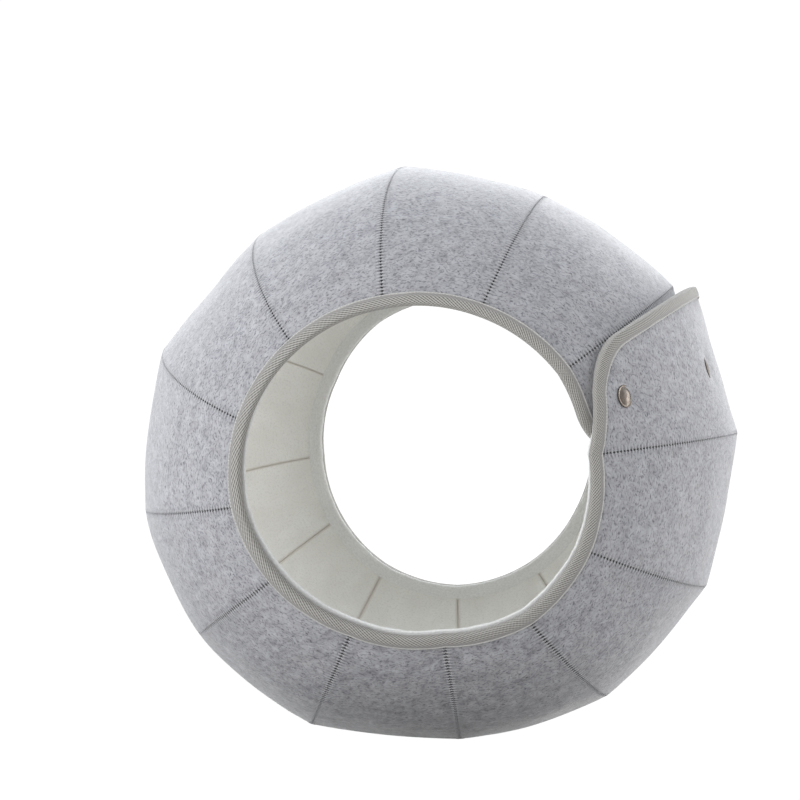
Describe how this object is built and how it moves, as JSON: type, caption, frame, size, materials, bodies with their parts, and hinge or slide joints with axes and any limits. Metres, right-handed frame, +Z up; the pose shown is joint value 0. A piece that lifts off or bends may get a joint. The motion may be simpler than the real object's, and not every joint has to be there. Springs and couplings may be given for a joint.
{
  "type": "felt cat cave",
  "caption": "Barrel-shaped felt cat cave sewn from tapered panels with a plush lining and bound edges, rolled up and closed by a lapped flap with snaps.",
  "frame": {"origin": "on the floor below the middle of the tunnel, in the flat patch that the cave rests on", "axes": "+Z up, Y along the tunnel with the front mouth at -Y, +X towards the lapped flap"},
  "size_m": [0.5016, 0.3846, 0.4835],
  "materials": {
    "felt": "mottled grey needle felt, matt",
    "lining": "short cream plush, matt",
    "binding": "warm grey twill tape, matt",
    "snap": "antique nickel over brass, satin"
  },
  "bodies": {
    "root": {"felt_01_under": "felt", "felt_02": "felt", "felt_03": "felt", "felt_04": "felt", "felt_05": "felt", "felt_06": "felt", "felt_07": "felt", "felt_08": "felt", "felt_09": "felt", "felt_10": "felt", "felt_11": "felt", "felt_12": "felt", "felt_13_flap": "felt", "lining_01_under": "lining", "lining_02": "lining", "lining_03": "lining", "lining_04": "lining", "lining_05": "lining", "lining_06": "lining", "lining_07": "lining", "lining_08": "lining", "lining_09": "lining", "lining_10": "lining", "lining_11": "lining", "lining_12": "lining", "lining_13_flap": "lining", "binding_tape": "binding", "snap_cap_front": "snap", "snap_cap_front_middle": "snap", "snap_cap_back_middle": "snap", "snap_cap_back": "snap", "snap_stud_front": "snap", "snap_stud_front_middle": "snap", "snap_stud_back_middle": "snap", "snap_stud_back": "snap"}
  },
  "joints": []
}
